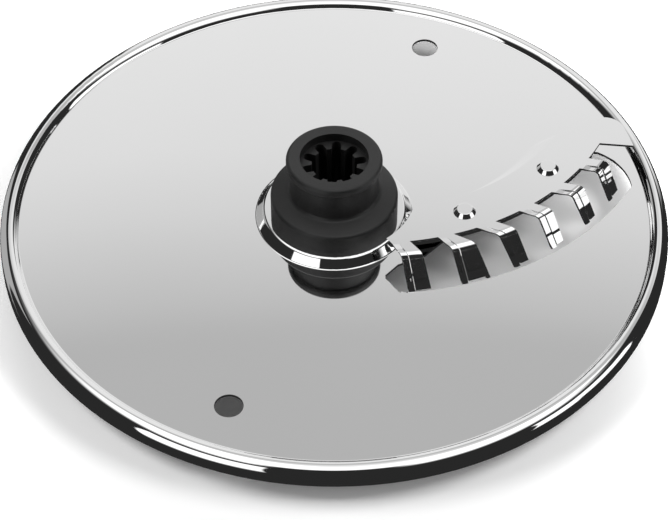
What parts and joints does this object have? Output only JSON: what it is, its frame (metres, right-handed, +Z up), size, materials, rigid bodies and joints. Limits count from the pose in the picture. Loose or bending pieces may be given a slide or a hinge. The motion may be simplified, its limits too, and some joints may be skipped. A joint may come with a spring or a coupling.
{
  "type": "food processor disc",
  "caption": "Polished steel cutting disc for a food processor: flat deck with a rolled rim, raised toothed cutter over a curved slot, black hub with a toothed drive socket.",
  "frame": {"origin": "on the hub's axis, in the plane of the hub's lower end, on which the disc stands", "axes": "+Z up along the hub's axis, out of the deck's top face; the cutter lies on the +X side"},
  "size_m": [0.1854, 0.1854, 0.032],
  "materials": {
    "steel": "mirror-polished stainless steel",
    "hub_plastic": "satin black moulded plastic"
  },
  "bodies": {
    "root": {"disc": "steel", "cutter_plate": "steel", "backing_strip": "steel", "rivets": "steel", "hub": "hub_plastic"}
  },
  "joints": []
}
